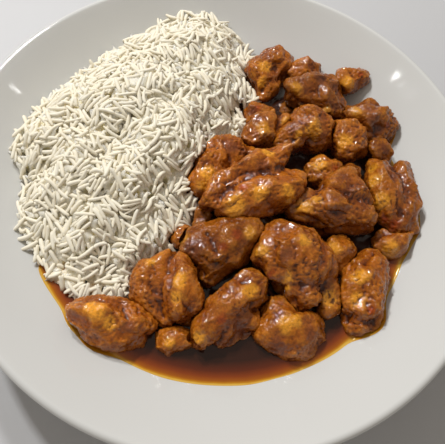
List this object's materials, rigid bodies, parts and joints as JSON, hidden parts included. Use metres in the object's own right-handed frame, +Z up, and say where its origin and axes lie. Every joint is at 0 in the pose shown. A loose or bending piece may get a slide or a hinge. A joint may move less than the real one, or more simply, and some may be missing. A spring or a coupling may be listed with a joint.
{
  "type": "chicken adobo rice bowl",
  "caption": "Wide shallow white bowl holding a heap of long-grain rice beside a pile of glazed braised chicken chunks in dark sauce.",
  "frame": {"origin": "centre of the foot ring on the surface that the bowl stands on", "axes": "+Z up, -Y towards the near side of the picture's view, where the sauce shows; the rice lies on the -X side"},
  "size_m": [0.26, 0.26, 0.0536],
  "materials": {
    "bowl_glaze": "smooth glossy off-white glaze",
    "chicken": "wrinkled amber-brown meat under a glossy thick sauce glaze",
    "rice": "moist cooked long-grain rice, satin",
    "sauce": "dark, clear, oily sauce, amber where thin"
  },
  "bodies": {
    "root": {"bowl": "bowl_glaze", "chunk_under_middle": "chicken", "chunk_under_back": "chicken", "chunk_left_bit": "chicken", "chunk_left_dark": "chicken", "chunk_right_bit": "chicken", "chunk_front_bit": "chicken", "chunk_ridge_behind": "chicken", "chunk_right_small": "chicken", "chunk_front_knob": "chicken", "chunk_front_low": "chicken", "chunk_back_tip": "chicken", "chunk_back_curl": "chicken", "chunk_back_left": "chicken", "chunk_right_back": "chicken", "chunk_right_round": "chicken", "chunk_right_dark": "chicken", "chunk_front_oval": "chicken", "chunk_left_low": "chicken", "chunk_back_dark": "chicken", "chunk_ridge_left": "chicken", "chunk_ridge_right": "chicken", "chunk_right_long": "chicken", "chunk_middle_left": "chicken", "chunk_left_folded": "chicken", "chunk_front_long": "chicken", "chunk_centre": "chicken", "chunk_right_wedge": "chicken", "chunk_front_craggy": "chicken", "chunk_middle_gold": "chicken", "rice_heap": "rice", "sauce_pool_1": "sauce", "sauce_pool_2": "sauce", "sauce_pool_3": "sauce"}
  },
  "joints": []
}
